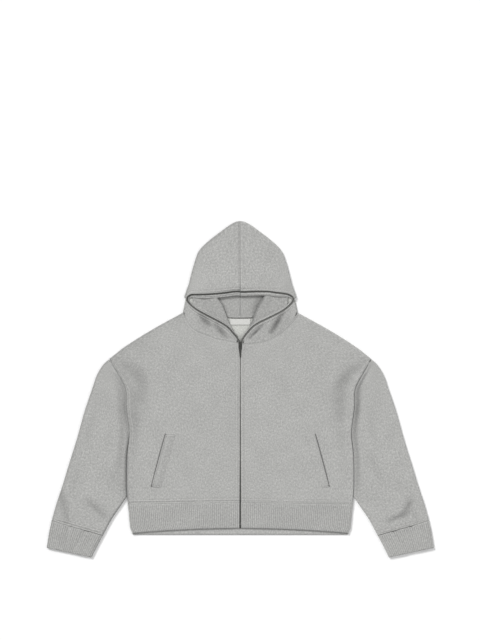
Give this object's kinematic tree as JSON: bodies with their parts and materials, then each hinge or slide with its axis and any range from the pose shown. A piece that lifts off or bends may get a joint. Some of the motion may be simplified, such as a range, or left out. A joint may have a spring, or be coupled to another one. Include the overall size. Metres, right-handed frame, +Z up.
{
  "type": "zip-up hooded sweatshirt",
  "caption": "Boxy light grey marl hooded sweatshirt laid flat on its back, with a full-length zip that runs on round the hood, ribbed cuffs and hem, and slanted welt pockets.",
  "frame": {"origin": "on the floor, under the middle of the whole garment's bounding box", "axes": "+X across the garment, towards the viewer's right when it is seen from above with the hood at the top; +Y from the hem towards the hood; +Z up from the floor"},
  "size_m": [1.006, 0.8737, 0.0156],
  "materials": {
    "fleece": "light grey marl cotton fleece",
    "rib_knit": "light grey marl rib knit",
    "zip_tape": "grey woven zip tape with its teeth",
    "zip_metal": "dark plated zip metal",
    "label": "white woven satin, bare"
  },
  "bodies": {
    "garment": {"back_panel": "fleece", "hem_band": "rib_knit", "front_left": "fleece", "sleeve_left": "fleece", "cuff_left": "rib_knit", "pocket_welt_left": "fleece", "hood_left": "fleece", "hood_lining_left": "fleece", "zip_tape_left": "zip_tape", "front_right": "fleece", "sleeve_right": "fleece", "cuff_right": "rib_knit", "pocket_welt_right": "fleece", "hood_right": "fleece", "hood_lining_right": "fleece", "zip_tape_right": "zip_tape", "neck_tape": "fleece", "neck_label": "label", "zip_slider": "zip_metal", "zip_stop": "zip_metal"},
    "pull": {"zip_pull": "zip_metal"}
  },
  "joints": [
    {"name": "pull_hinge", "type": "hinge", "parent": "garment", "child": "pull", "pos_m": [0, 0.116, 0.00775], "axis": [-1, 0, 0], "range_deg": [0, 150]}
  ]
}
